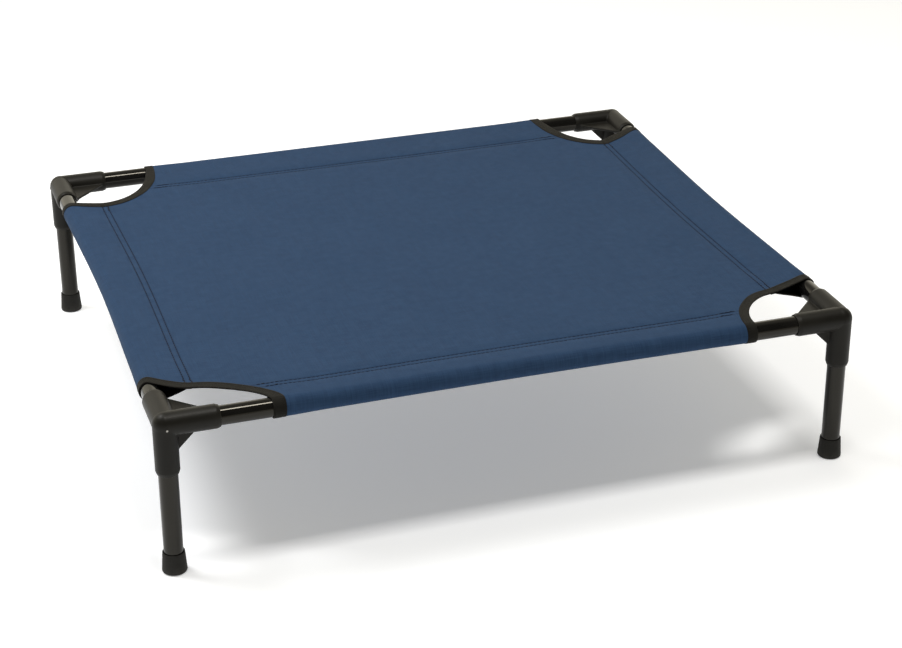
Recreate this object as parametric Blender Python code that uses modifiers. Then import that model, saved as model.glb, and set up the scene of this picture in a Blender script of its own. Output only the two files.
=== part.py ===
"""Raised dog bed: a steel tube frame pushed into moulded corners, with a sewn cloth deck.

Metres, +Z up. The origin is on the floor, midway between the four legs. X runs along the
front rail, and Y runs from the front of the bed to the back.
"""

import math
from collections import namedtuple

import bmesh
import bpy
from mathutils import Matrix

# Frame, between the centre lines of its tubes
SPAN_X = 0.800
SPAN_Y = 0.704
RAIL_HEIGHT = 0.1826          # centre line of the rails above the floor
TUBE_RADIUS = 0.011
TUBE_WALL = 0.0012
FRONT_BOW = 0.0026            # how far the taut cloth pulls the middle of each rail inwards
BACK_BOW = 0.0004
SIDE_BOW = 0.0048

# Corner connector: three sockets that meet at a rounded elbow, with three flat webs
SOCKET_RADIUS = 0.0136
SOCKET_LENGTH = 0.0595        # from the elbow's centre to the mouth
SOCKET_STOP = 0.016           # the tubes stop this far from the elbow's centre
MOUTH_TAPER = 0.0042
MOUTH_RADIUS = 0.0122
ELBOW_RADIUS = 0.0140
WEB_THICKNESS = 0.003
WEB_ROOT = 0.0128             # a web's edge starts this deep inside each socket's wall
FLAT_WEB_REACH = 0.0565       # the level web, along each rail socket
LEG_WEB_REACH = 0.034         # the two upright webs, along a rail socket and the leg socket

# Foot cap: a rubber cup over the end of the leg
CAP_HEIGHT = 0.025
CAP_RIM_RADIUS = 0.0125
CAP_BASE_RADIUS = 0.0141
CAP_FLOOR = 0.004
CAP_EDGE = 0.002              # rounding of its bottom edge

# Cloth: a panel between four sleeves, each a closed loop round its rail
GAP = 0.0003                  # left between pieces that touch
CLOTH = 0.001
LOOP_RADIUS = TUBE_RADIUS + GAP + CLOTH
FRONT_SEAM = 0.031            # seam to rail centre line
BACK_SEAM = 0.071
LEFT_SEAM = 0.040
RIGHT_SEAM = 0.056

# Corner cut-outs, measured from the leg's axis towards the middle of the bed. Each edge is a
# quarter of a rounded arc from the front or back rail to the side seam, and then runs on to
# the side rail. Above 1, power flattens the arc and side_power bends its last stretch.
CutOut = namedtuple("CutOut", "along_x along_y depth power side_power")
CUT_STEPS = 9
SIDE_CUT_STEPS = 3
OVERHANG = 0.030              # how far a cutter runs past the piece that it cuts

# Binding tape round each cut-out
BINDING_WIDTH = 0.015
BINDING = 0.0017
BINDING_RADIUS = TUBE_RADIUS + GAP + BINDING
BINDING_DROP = 0.0007         # the folded tape reaches this far below the cloth
BINDING_STEP = 0.0001         # the band lies this much below the loops' top

# Facets
ROUND_SIDES = 24
ELBOW_RINGS = 12
LOOP_STEPS = 14               # round the outside of a cloth loop
CAP_EDGE_STEPS = 3
BEND_STATIONS = 10            # cross-sections along the bent stretch of a rail
SHARP_ANGLE = math.radians(35)
MERGE_DISTANCE = 0.00001

SIDES = {
    # name: turn about Z, rail to middle, half span, bow, seam
    "front": (0, SPAN_Y / 2, SPAN_X / 2, FRONT_BOW, FRONT_SEAM),
    "right": (90, SPAN_X / 2, SPAN_Y / 2, SIDE_BOW, RIGHT_SEAM),
    "back": (180, SPAN_Y / 2, SPAN_X / 2, BACK_BOW, BACK_SEAM),
    "left": (270, SPAN_X / 2, SPAN_Y / 2, SIDE_BOW, LEFT_SEAM),
}
CORNERS = {
    # name: side of X, side of Y, turn about Z, the cut-out's shape
    "front_left": (-1, -1, 0, CutOut(0.127, 0.091, 0.062, 1.2, 1.6)),
    "front_right": (1, -1, 90, CutOut(0.124, 0.101, 0.078, 1.1, 1.0)),
    "back_right": (1, 1, 180, CutOut(0.126, 0.083, 0.118, 1.0, 1.3)),
    "back_left": (-1, 1, 270, CutOut(0.124, 0.104, 0.118, 1.0, 1.5)),
}


def clear_scene():
    for item in list(bpy.data.objects):
        bpy.data.objects.remove(item, do_unlink=True)


def make_collection(name):
    collection = bpy.data.collections.new(name)
    bpy.context.scene.collection.children.link(collection)
    return collection


def make_material(name, colour, roughness, metallic=0.0):
    material = bpy.data.materials.new(name)
    material.use_nodes = True
    shader = material.node_tree.nodes["Principled BSDF"]
    shader.inputs["Base Color"].default_value = (*colour, 1.0)
    shader.inputs["Roughness"].default_value = roughness
    shader.inputs["Metallic"].default_value = metallic
    return material


def add_object(name, data, collection, material=None, matrix=None):
    item = bpy.data.objects.new(name, data)
    collection.objects.link(item)
    if material:
        item.data.materials.clear()
        item.data.materials.append(material)
    if matrix:
        item.matrix_world = matrix
    return item


def round_off(item):
    item.data.shade_smooth()
    item.data.set_sharp_from_angle(angle=SHARP_ANGLE)


def mesh_from_curve(curve_object):
    """Turn a curve object into a closed mesh object of the same name."""
    bpy.context.view_layer.update()
    graph = bpy.context.evaluated_depsgraph_get()
    mesh = bpy.data.meshes.new_from_object(curve_object.evaluated_get(graph))
    shell = bmesh.new()
    shell.from_mesh(mesh)
    bmesh.ops.remove_doubles(shell, verts=shell.verts, dist=MERGE_DISTANCE)
    bmesh.ops.recalc_face_normals(shell, faces=shell.faces)
    shell.to_mesh(mesh)
    shell.free()
    name = curve_object.name
    matrix = curve_object.matrix_world.copy()
    collection = curve_object.users_collection[0]
    bpy.data.objects.remove(curve_object, do_unlink=True)
    mesh.name = name
    return add_object(name, mesh, collection, matrix=matrix)


def flat_solid(name, outlines, half_thickness, collection, matrix=Matrix()):
    """Extrude closed outlines both ways along local Z; an inner outline is a hole."""
    curve = bpy.data.curves.new(name, "CURVE")
    curve.dimensions = "2D"
    curve.fill_mode = "BOTH"
    curve.extrude = half_thickness
    for outline in outlines:
        spline = curve.splines.new("POLY")
        spline.points.add(len(outline) - 1)
        for point, (x, y) in zip(spline.points, outline):
            point.co = (x, y, 0, 1)
        spline.use_cyclic_u = True
    return mesh_from_curve(add_object(name, curve, collection, matrix=matrix))


def combine(item, other, operation):
    """Apply a Boolean of another object to this one."""
    modifier = item.modifiers.new(operation.lower(), "BOOLEAN")
    modifier.operation = operation
    modifier.solver = "EXACT"
    modifier.object = other
    bpy.context.view_layer.update()
    graph = bpy.context.evaluated_depsgraph_get()
    result = bpy.data.meshes.new_from_object(item.evaluated_get(graph))
    item.modifiers.clear()
    shell = bmesh.new()
    shell.from_mesh(result)
    bmesh.ops.remove_doubles(shell, verts=shell.verts, dist=MERGE_DISTANCE)
    shell.to_mesh(result)
    shell.free()
    old = item.data
    item.data = result
    bpy.data.meshes.remove(old)


def combine_all(item, others, operation):
    for other in others:
        combine(item, other, operation)
        bpy.data.objects.remove(other, do_unlink=True)


# --- Tubes -----------------------------------------------------------------------------------


def side_matrix(side):
    """Local X points to the middle of the bed, Y up and Z along the rail."""
    turn, reach, _, _, _ = SIDES[side]
    along_x = Matrix(((0, 0, 1, 0), (1, 0, 0, 0), (0, 1, 0, 0), (0, 0, 0, 1)))
    place = Matrix.Translation((0, -reach, RAIL_HEIGHT))
    return Matrix.Rotation(math.radians(turn), 4, "Z") @ place @ along_x


def bow_at(side, along):
    """How far the rail stands inwards, this far along it from its middle."""
    _, _, half_span, bow, _ = SIDES[side]
    free = half_span - SOCKET_LENGTH
    if abs(along) >= free:
        return 0.0
    return bow * (1 + math.cos(math.pi * along / free)) / 2


def rail_stations(side):
    half_span = SIDES[side][2]
    free = half_span - SOCKET_LENGTH
    end = half_span - SOCKET_STOP - GAP
    middle = [free * (2 * i / BEND_STATIONS - 1) for i in range(BEND_STATIONS + 1)]
    return [-end, *middle, end]


def tube(name, points, collection, material, matrix):
    """A hollow tube along the points, with its outer wall at TUBE_RADIUS."""
    curve = bpy.data.curves.new(name, "CURVE")
    curve.dimensions = "3D"
    curve.bevel_depth = TUBE_RADIUS
    curve.bevel_resolution = (ROUND_SIDES - 4) // 2
    spline = curve.splines.new("POLY")
    spline.points.add(len(points) - 1)
    for point, place in zip(spline.points, points):
        point.co = (*place, 1)
    item = mesh_from_curve(add_object(name, curve, collection, matrix=matrix))
    item.data.materials.append(material)
    wall = item.modifiers.new("wall", "SOLIDIFY")
    wall.thickness = TUBE_WALL
    wall.offset = -1
    round_off(item)
    return item


def rail(side, collection, material):
    points = [(bow_at(side, along), 0, along) for along in rail_stations(side)]
    return tube(f"{side}_rail", points, collection, material, side_matrix(side))


def leg(corner, collection, material):
    side_x, side_y, _, _ = CORNERS[corner]
    place = Matrix.Translation((side_x * SPAN_X / 2, side_y * SPAN_Y / 2, 0))
    ends = [(0, 0, CAP_FLOOR + GAP), (0, 0, RAIL_HEIGHT - SOCKET_STOP - GAP)]
    return tube(f"leg_{corner}", ends, collection, material, place)


# --- Corner connectors and foot caps -----------------------------------------------------------


def turned(name, profile, collection):
    """Turn a profile of (radius, height) points, listed top to bottom, about local Z."""
    shell = bmesh.new()
    points = [shell.verts.new((radius, 0, height)) for radius, height in profile]
    for first, second in zip(points, points[1:]):
        shell.edges.new((first, second))
    mesh = bpy.data.meshes.new(name)
    shell.to_mesh(mesh)
    shell.free()
    item = add_object(name, mesh, collection)
    screw = item.modifiers.new("turn", "SCREW")
    screw.steps = ROUND_SIDES
    screw.render_steps = ROUND_SIDES
    screw.use_merge_vertices = True
    screw.merge_threshold = MERGE_DISTANCE
    return item


def socket_body(name, collection, matrix):
    """The outside of one socket: it runs down local Z from the elbow to its mouth."""
    profile = [
        (0, 0),
        (SOCKET_RADIUS, 0),
        (SOCKET_RADIUS, -SOCKET_LENGTH + MOUTH_TAPER),
        (MOUTH_RADIUS, -SOCKET_LENGTH),
        (0, -SOCKET_LENGTH),
    ]
    item = turned(name, profile, collection)
    item.matrix_world = matrix
    return item


def socket_bore(name, collection, matrix):
    radius = TUBE_RADIUS + GAP
    profile = [
        (0, -SOCKET_STOP),
        (radius, -SOCKET_STOP),
        (radius, -SOCKET_LENGTH - OVERHANG),
        (0, -SOCKET_LENGTH - OVERHANG),
    ]
    item = turned(name, profile, collection)
    item.matrix_world = matrix @ Matrix.Rotation(math.pi / ROUND_SIDES, 4, "Z")
    return item


def web(name, reach, collection, matrix):
    outline = [(0, 0), (reach, 0), (reach, WEB_ROOT), (WEB_ROOT, reach), (0, reach)]
    return flat_solid(name, [outline], WEB_THICKNESS / 2, collection, matrix)


def connector_mesh(cutters):
    """Sockets along +X, +Y and -Z from the origin, with a web between each pair."""
    quarter = math.pi / 2
    down = Matrix()
    along_x = Matrix.Rotation(-quarter, 4, "Y")
    along_y = Matrix.Rotation(quarter, 4, "X")
    upright_x = Matrix.Rotation(-quarter, 4, "X")
    upright_y = Matrix.Rotation(quarter, 4, "Z") @ upright_x
    body = socket_body("connector", cutters, down)
    elbow_mesh = bpy.data.meshes.new("elbow")
    ball = bmesh.new()
    bmesh.ops.create_uvsphere(
        ball, u_segments=ROUND_SIDES, v_segments=ELBOW_RINGS, radius=ELBOW_RADIUS
    )
    ball.to_mesh(elbow_mesh)
    ball.free()
    pieces = [
        socket_body("socket_x", cutters, along_x),
        socket_body("socket_y", cutters, along_y),
        add_object("elbow", elbow_mesh, cutters),
        web("flat_web", FLAT_WEB_REACH, cutters, Matrix()),
        web("web_x", LEG_WEB_REACH, cutters, upright_x),
        web("web_y", LEG_WEB_REACH, cutters, upright_y),
    ]
    combine_all(body, pieces, "UNION")
    bores = [socket_bore(f"bore_{i}", cutters, matrix)
             for i, matrix in enumerate((down, along_x, along_y))]
    combine_all(body, bores, "DIFFERENCE")
    mesh = body.data
    mesh.name = "connector"
    bpy.data.objects.remove(body, do_unlink=True)
    return mesh


def connector(corner, mesh, collection, material):
    side_x, side_y, turn, _ = CORNERS[corner]
    place = Matrix.Translation((side_x * SPAN_X / 2, side_y * SPAN_Y / 2, RAIL_HEIGHT))
    matrix = place @ Matrix.Rotation(math.radians(turn), 4, "Z")
    item = add_object(f"connector_{corner}", mesh, collection, material, matrix)
    round_off(item)
    return item


def foot_cap(corner, leg_above, collection, material):
    """A cup that stands on the floor and holds the end of its leg, which it is parented to."""
    inner = TUBE_RADIUS + GAP
    edge = []
    for i in range(CAP_EDGE_STEPS + 1):
        angle = math.pi / 2 * i / CAP_EDGE_STEPS
        radius = CAP_BASE_RADIUS - CAP_EDGE * (1 - math.cos(angle))
        edge.append((radius, CAP_EDGE * (1 - math.sin(angle))))
    profile = [(inner, CAP_HEIGHT), (CAP_RIM_RADIUS, CAP_HEIGHT), *edge, (0, 0)]
    profile = [(0, CAP_FLOOR), (inner, CAP_FLOOR), *profile]
    item = turned(f"foot_cap_{corner}", profile, collection)
    item.data.materials.append(material)
    item.parent = leg_above
    round_off(item)
    return item


# --- Cloth -----------------------------------------------------------------------------------


def loop_outline(radius, seam):
    """A closed loop round a rail: over the top, round the outside, and back up to the seam.

    X points to the middle of the bed and Y up. The two flat stretches touch the round one,
    and meet at the seam, level with its top.
    """
    lower_end = 2 * math.atan2(radius, seam) - math.pi / 2 + 2 * math.pi
    outline = [(seam, radius)]
    for i in range(LOOP_STEPS + 1):
        angle = math.pi / 2 + (lower_end - math.pi / 2) * i / LOOP_STEPS
        outline.append((radius * math.cos(angle), radius * math.sin(angle)))
    return outline


def bent_solid(name, outlines, side, half_length, collection):
    """The outlines extruded along a rail, and bent inwards with it."""
    item = flat_solid(name, outlines, half_length, collection, side_matrix(side))
    shell = bmesh.new()
    shell.from_mesh(item.data)
    for station in rail_stations(side)[1:-1]:
        everything = [*shell.verts, *shell.edges, *shell.faces]
        bmesh.ops.bisect_plane(
            shell,
            geom=everything,
            dist=MERGE_DISTANCE,
            plane_co=(0, 0, station),
            plane_no=(0, 0, 1),
        )
    for vertex in shell.verts:
        vertex.co.x += bow_at(side, vertex.co.z)
    shell.to_mesh(item.data)
    shell.free()
    return item


def loop_outlines(side, thickness):
    """The outside and the inside of a loop of this thickness, which share their seam's slope."""
    seam = SIDES[side][4]
    inner_radius = TUBE_RADIUS + GAP
    outer_radius = inner_radius + thickness
    outside = loop_outline(outer_radius, seam)
    inside = loop_outline(inner_radius, seam * inner_radius / outer_radius)
    return outside, inside


def cut_line(corner):
    """The cloth's edge at a corner, from the front or back rail round to the side rail.

    Points are measured from the leg's axis towards the middle of the bed.
    """
    side_x, _, _, cut = CORNERS[corner]
    seam = LEFT_SEAM if side_x < 0 else RIGHT_SEAM
    line = [(cut.along_x, -OVERHANG)]
    for i in range(CUT_STEPS + 1):
        angle = math.pi / 2 * i / CUT_STEPS
        x = seam + (cut.along_x - seam) * max(math.cos(angle), 0) ** cut.power
        line.append((x, cut.depth * math.sin(angle) ** cut.power))
    for i in range(1, SIDE_CUT_STEPS + 1):
        share = i / SIDE_CUT_STEPS
        rise = (cut.along_y - cut.depth) * share**cut.side_power
        line.append((seam * (1 - share), cut.depth + rise))
    line.append((-OVERHANG, cut.along_y))
    return line


def shifted_line(line, distance):
    """The same line moved sideways, towards the leg where distance is positive."""
    moved = []
    for i, (x, y) in enumerate(line):
        before = line[max(i - 1, 0)]
        after = line[min(i + 1, len(line) - 1)]
        run_x = after[0] - before[0]
        run_y = after[1] - before[1]
        length = math.hypot(run_x, run_y)
        moved.append((x - distance * run_y / length, y + distance * run_x / length))
    return moved


def corner_prism(name, corner, outline, collection):
    """An upright solid over the outline, which is given in the corner's own measure."""
    side_x, side_y, _, _ = CORNERS[corner]
    world = [(side_x * (SPAN_X / 2 - x), side_y * (SPAN_Y / 2 - y)) for x, y in outline]
    matrix = Matrix.Translation((0, 0, RAIL_HEIGHT))
    return flat_solid(name, [world], 2 * BINDING_RADIUS, collection, matrix)


def cut_out(corner, cutters):
    line = shifted_line(cut_line(corner), -GAP)
    outline = [*line, (-OVERHANG, -OVERHANG)]
    return corner_prism(f"cut_out_{corner}", corner, outline, cutters)


def sleeve(side, cutters, collection, material):
    outlines = loop_outlines(side, CLOTH)
    half_length = SIDES[side][2]
    item = bent_solid(f"{side}_sleeve", outlines, side, half_length, collection)
    combine_all(item, [cut_out(corner, cutters) for corner in CORNERS], "DIFFERENCE")
    item.data.materials.append(material)
    round_off(item)
    return item


def deck_panel(cutters, collection, material):
    """The level cloth between the four seams."""
    outline = []
    for side, (turn, reach, half_span, _, seam) in SIDES.items():
        names = list(SIDES)
        before = SIDES[names[names.index(side) - 1]]
        after = SIDES[names[(names.index(side) + 1) % len(names)]]
        start = -(half_span - before[4] - GAP)
        end = half_span - after[4] - GAP
        angle = math.radians(turn)
        for i in range(BEND_STATIONS):
            along = start + (end - start) * i / BEND_STATIONS
            away = -reach + seam + GAP + bow_at(side, along)
            x = along * math.cos(angle) - away * math.sin(angle)
            y = along * math.sin(angle) + away * math.cos(angle)
            outline.append((x, y))
    middle = Matrix.Translation((0, 0, RAIL_HEIGHT + LOOP_RADIUS - CLOTH / 2))
    item = flat_solid("deck_panel", [outline], CLOTH / 2, collection, middle)
    combine_all(item, [cut_out(corner, cutters) for corner in CORNERS], "DIFFERENCE")
    item.data.materials.append(material)
    return item


def binding(corner, cutters, collection, material):
    """Tape round one cut-out: a band along the deck's edge that also circles both rails."""
    side_x, side_y, _, _ = CORNERS[corner]
    sides = ("left" if side_x < 0 else "right", "front" if side_y < 0 else "back")
    inner = cut_line(corner)
    outer = shifted_line(inner, BINDING_WIDTH)
    band = corner_prism(f"binding_{corner}", corner, [*inner, *reversed(outer)], collection)
    low = RAIL_HEIGHT + TUBE_RADIUS + GAP - BINDING_DROP
    high = RAIL_HEIGHT + BINDING_RADIUS - BINDING_STEP
    plate = [
        (0, 0),
        (side_x * SPAN_X / 2, 0),
        (side_x * SPAN_X / 2, side_y * SPAN_Y / 2),
        (0, side_y * SPAN_Y / 2),
    ]
    level = Matrix.Translation((0, 0, (low + high) / 2))
    form = flat_solid("tape_plate", [plate], (high - low) / 2, cutters, level)
    loops = []
    voids = []
    for side in sides:
        outside, inside = loop_outlines(side, BINDING)
        length = SIDES[side][2]
        loops.append(bent_solid(f"tape_{side}", [outside], side, length, cutters))
        voids.append(bent_solid(f"void_{side}", [inside], side, length + OVERHANG, cutters))
    combine_all(form, loops, "UNION")
    combine_all(form, voids, "DIFFERENCE")
    combine_all(band, [form], "INTERSECT")
    band.data.materials.append(material)
    round_off(band)
    return band


def build():
    clear_scene()
    bed = make_collection("raised_dog_bed")
    cutters = make_collection("cutters")
    steel = make_material("black_painted_steel", (0.012, 0.012, 0.012), 0.22)
    plastic = make_material("black_moulded_plastic", (0.030, 0.029, 0.026), 0.50)
    rubber = make_material("black_rubber", (0.022, 0.021, 0.020), 0.70)
    cloth = make_material("navy_woven_polyester", (0.045, 0.080, 0.150), 0.85)
    tape = make_material("black_binding_tape", (0.020, 0.019, 0.018), 0.80)
    mesh = connector_mesh(cutters)
    for side in SIDES:
        rail(side, bed, steel)
        sleeve(side, cutters, bed, cloth)
    for corner in CORNERS:
        connector(corner, mesh, bed, plastic)
        leg_above = leg(corner, bed, steel)
        foot_cap(corner, leg_above, bed, rubber)
        binding(corner, cutters, bed, tape)
    deck_panel(cutters, bed, cloth)


build()
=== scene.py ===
"""The looks of the raised dog bed: a sewn navy cover with bound cut-outs on a black tube frame.

Metres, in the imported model's frame: the origin is on the floor midway between the legs, X runs
along the front rail, Y to the back and Z up. The cover is worked out flat, as it was cut, and
then laid over the rails. A place on the flat cloth is (p, q): across the deck these are X and Y,
and past a rail's centre line they go on round the rail and back under the deck.
"""

import math
import random
from collections import namedtuple

import bmesh
import bpy
import numpy as np
from mathutils import Matrix, Vector
from mathutils.geometry import delaunay_2d_cdt


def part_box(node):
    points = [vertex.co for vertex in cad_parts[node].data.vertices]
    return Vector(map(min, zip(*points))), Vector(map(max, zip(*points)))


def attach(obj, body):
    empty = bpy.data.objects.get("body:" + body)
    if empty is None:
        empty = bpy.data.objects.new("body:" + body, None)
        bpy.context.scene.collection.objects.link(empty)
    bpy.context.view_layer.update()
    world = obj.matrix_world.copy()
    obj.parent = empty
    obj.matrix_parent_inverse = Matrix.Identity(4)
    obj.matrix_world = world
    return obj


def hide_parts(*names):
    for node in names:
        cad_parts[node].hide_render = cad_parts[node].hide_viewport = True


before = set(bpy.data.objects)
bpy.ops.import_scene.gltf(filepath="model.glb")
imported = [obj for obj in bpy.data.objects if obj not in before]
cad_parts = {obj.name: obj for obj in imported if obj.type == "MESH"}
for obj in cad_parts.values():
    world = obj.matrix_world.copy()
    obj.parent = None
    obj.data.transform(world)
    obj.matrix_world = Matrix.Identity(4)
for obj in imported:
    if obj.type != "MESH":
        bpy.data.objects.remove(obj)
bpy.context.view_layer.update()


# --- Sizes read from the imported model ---


def middle(node, axis):
    low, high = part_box(node)
    return (low[axis] + high[axis]) / 2


def extent(node, axis):
    low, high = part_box(node)
    return high[axis] - low[axis]


HALF_X = middle("leg_front_right", 0)
HALF_Y = middle("leg_back_right", 1)
RAIL_Z = middle("front_rail", 2)
TUBE_RADIUS = extent("front_rail", 2) / 2
LEG_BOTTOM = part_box("leg_front_left")[0][2]
LEG_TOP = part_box("leg_front_left")[1][2]
SOCKET_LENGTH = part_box("connector_front_left")[1][0] + HALF_X
CAP_HEIGHT = extent("foot_cap_front_left", 2)
CAP_BASE_RADIUS = extent("foot_cap_front_left", 0) / 2


# A cut-out's edge, from the leg's axis towards the middle of the bed: a quarter of a rounded
# arc from the front or back rail to the side seam, and then on to the side rail. The tapes are
# its binding's widths at the front or back rail, in the middle and at the side rail.
CutOut = namedtuple("CutOut", "along_x along_y depth power side_power tapes")
FRONT_LEFT = CutOut(0.1310, 0.091, 0.0630, 1.40, 1.35, (0.0140, 0.0128, 0.0115))
FRONT_RIGHT = CutOut(0.1240, 0.101, 0.0780, 1.10, 1.00, (0.0122, 0.0120, 0.0118))
BACK_RIGHT = CutOut(0.1260, 0.083, 0.1180, 1.00, 1.30, (0.0130, 0.0150, 0.0125))
BACK_LEFT = CutOut(0.1265, 0.104, 0.1180, 1.00, 1.50, (0.0108, 0.0128, 0.0115))
CORNERS = {
    # name: side of X, side of Y, turn about Z, the cut-out's shape
    "front_left": (-1, -1, 0, FRONT_LEFT),
    "front_right": (1, -1, 90, FRONT_RIGHT),
    "back_right": (1, 1, 180, BACK_RIGHT),
    "back_left": (-1, 1, 270, BACK_LEFT),
}


class Side:
    """One rail: axis is the one across it, and sign is the side of the bed that it is on."""

    def __init__(self, name, axis, sign, reach, half_span):
        self.name = name
        self.axis = axis
        self.sign = sign
        self.reach = reach
        self.half_span = half_span
        self.mouths = {}
        for side_x, side_y, _, cut in CORNERS.values():
            if (side_x, side_y)[axis] == sign:
                end = (side_x, side_y)[1 - axis]
                self.mouths[end] = cut.along_y if axis == 0 else cut.along_x
        self.bow = extent(f"{name}_rail", axis) - 2 * TUBE_RADIUS
        low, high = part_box(f"{name}_sleeve")
        inner_edge = min(abs(low[axis]), abs(high[axis]))
        self.seam = reach - self.bow - inner_edge


SIDES = {
    "front": Side("front", 1, -1, HALF_Y, HALF_X),
    "back": Side("back", 1, 1, HALF_Y, HALF_X),
    "left": Side("left", 0, -1, HALF_X, HALF_Y),
    "right": Side("right", 0, 1, HALF_X, HALF_Y),
}

# Cover
CLOTH = 0.0005
SNUG_RADIUS = 0.01135         # rail axis to the middle of the cloth, where it is tight
MOUTH_RADIUS = 0.0119         # the same at a cut-out, where tape lies inside the sleeve
FLARE_LENGTH = 0.045
SAG = 0.0022
SEAM_DIP = 0.0011
SEAM_DIP_WIDTH = 0.010
WAVE_HEIGHT = 0.00012         # the deck's faint unevenness
PUCKER_HEIGHT = 0.00010       # the ripple that the thread pulls along a seam
PUCKER_PITCH = 0.017
PUCKER_WIDTH = 0.007
FLARE_REACH = 0.035           # how far in from the rail the deck rises with an open mouth
ROW_OFFSET = 0.0035           # each stitch row to the seam's middle
ROW_GROOVE = 0.00045
ROW_GROOVE_WIDTH = 0.0009
PLY_JOIN = 0.0045             # the lower ply meets the deck this far before the seam
PLY_LAP = 0.00085             # middle of the deck to the middle of the hem below it
TAPE_ROOM = 0.00090           # how much lower the hem hangs where both edges wear a tape
HEM_PAST_SEAM = 0.006
HEM_TURN = 0.001              # where the plies meet, the cloth levels out over this much

# Binding tape
TAPE = 0.00040
TAPE_LIFT = 0.00050           # middle of the cloth to the middle of the tape
TAPE_HOLLOW = 0.0015          # the cloth's edge stops this far inside the fold
TAPE_ROW = 0.0022             # stitch row to the tape's inner edge
TAPE_EASE = 0.035             # the tape reaches its middle width this far from a rail's axis
LINE_STEP = 0.0015            # between the points along a cut-out's edge

# Thread
STITCH_PITCH = 0.0052
STITCH_LENGTH = 0.0042
STITCH_WIDTH = 0.00115
STITCH_HEIGHT = 0.00062
TAPE_PITCH = 0.0032
TAPE_STITCH_LENGTH = 0.0024
TAPE_STITCH_WIDTH = 0.00055
TAPE_STITCH_HEIGHT = 0.00032
BACKTACK_LENGTH = 0.020
BACKTACK_SHIFT = 0.0011       # how far a backtacked stitch may stray from its row
THREAD_LIFT = 0.00012         # middle of a seam's thread above the cloth's face
TAPE_THREAD_LIFT = 0.00006
ROW_END = (-0.0005, 0.007)    # rows along Y run into the tape, and those along X stop short
PROBE = 0.0004                # from a stitch's middle to where its direction is measured


# --- Small helpers ---


def smooth_step(value):
    t = np.clip(value, 0, 1)
    return t * t * (3 - 2 * t)


def bell(distance, width):
    return np.exp(-((distance / width) ** 2))


def corner_place(corner, height):
    side_x, side_y, _, _ = CORNERS[corner]
    return side_x * HALF_X, side_y * HALF_Y, height


def new_object(name, mesh, material):
    item = bpy.data.objects.new(name, mesh)
    bpy.context.scene.collection.objects.link(item)
    if material:
        mesh.materials.clear()
        mesh.materials.append(material)
    return item


def mesh_from_arrays(name, points, faces):
    mesh = bpy.data.meshes.new(name)
    mesh.from_pydata([tuple(map(float, p)) for p in points], [], faces)
    mesh.update()
    mesh.shade_smooth()
    return mesh


def store_place(mesh, places):
    """Keep each vertex's place on the flat cloth, which the weave and the ribs follow."""
    attribute = mesh.attributes.new("flat_place", "FLOAT_VECTOR", "POINT")
    flat = np.zeros((len(mesh.vertices), 3), np.float32)
    flat[:, :2] = places
    attribute.data.foreach_set("vector", flat.ravel())


def store_painted_row_shade(mesh, places):
    """How near each vertex is to a stitch row, where the cloth is drawn in; there the cloth's
    colour is painted darker as shade in the grooves.
    """
    attribute = mesh.attributes.new("seam_row", "FLOAT", "POINT")
    near = np.zeros(len(mesh.vertices), np.float32)
    for side in SIDES.values():
        depth = side.reach - places[:, side.axis] * side.sign
        for row in (-ROW_OFFSET, ROW_OFFSET):
            near = np.maximum(near, bell(depth - side.seam - row, ROW_GROOVE_WIDTH))
    attribute.data.foreach_set("value", near.astype(np.float32))


TINY = 0.00005                # the radius of a ring that closes to a point


def whole_turn(sides):
    return [2 * math.pi * j / sides for j in range(sides)]


def turned_points(profile, sides):
    """Rings of points round the Z axis, one for each (radius, height)."""
    return [(max(radius, TINY) * math.cos(a), max(radius, TINY) * math.sin(a), height)
            for radius, height in profile for a in whole_turn(sides)]


def skin(rings, sides):
    """Faces over rings of points, closed at both ends."""
    faces = [(i * sides + j, i * sides + (j + 1) % sides,
              (i + 1) * sides + (j + 1) % sides, (i + 1) * sides + j)
             for i in range(rings - 1) for j in range(sides)]
    last = (rings - 1) * sides
    return faces + [tuple(range(sides))[::-1], tuple(range(last, last + sides))]


def solidify(item, thickness):
    wall = item.modifiers.new("thickness", "SOLIDIFY")
    wall.thickness = thickness
    wall.offset = 0
    wall.use_even_offset = False


# --- Materials ---


class Nodes:
    """The nodes of a material or a world, with short ways to add to them."""

    def __init__(self, owner):
        owner.use_nodes = True
        self.tree = owner.node_tree

    def set(self, socket, value):
        if isinstance(value, bpy.types.NodeSocket):
            self.tree.links.new(value, socket)
        elif isinstance(value, tuple) and len(value) == 3 and socket.type == "RGBA":
            socket.default_value = (*value, 1.0)
        else:
            socket.default_value = value

    def node(self, kind, inputs=None, **settings):
        made = self.tree.nodes.new(kind)
        for name, value in settings.items():
            setattr(made, name, value)
        for socket, value in (inputs or {}).items():
            self.set(made.inputs[socket], value)
        return made

    def math(self, operation, *values):
        made = self.node("ShaderNodeMath", dict(enumerate(values)), operation=operation)
        return made.outputs[0]

    def product(self, *values):
        return self.math("MULTIPLY", *values)

    def parts(self, vector):
        return self.node("ShaderNodeSeparateXYZ", {0: vector}).outputs

    def remap(self, value, low, high, to_low, to_high):
        inputs = {0: value, 1: low, 2: high, 3: to_low, 4: to_high}
        return self.node("ShaderNodeMapRange", inputs).outputs[0]


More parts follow.
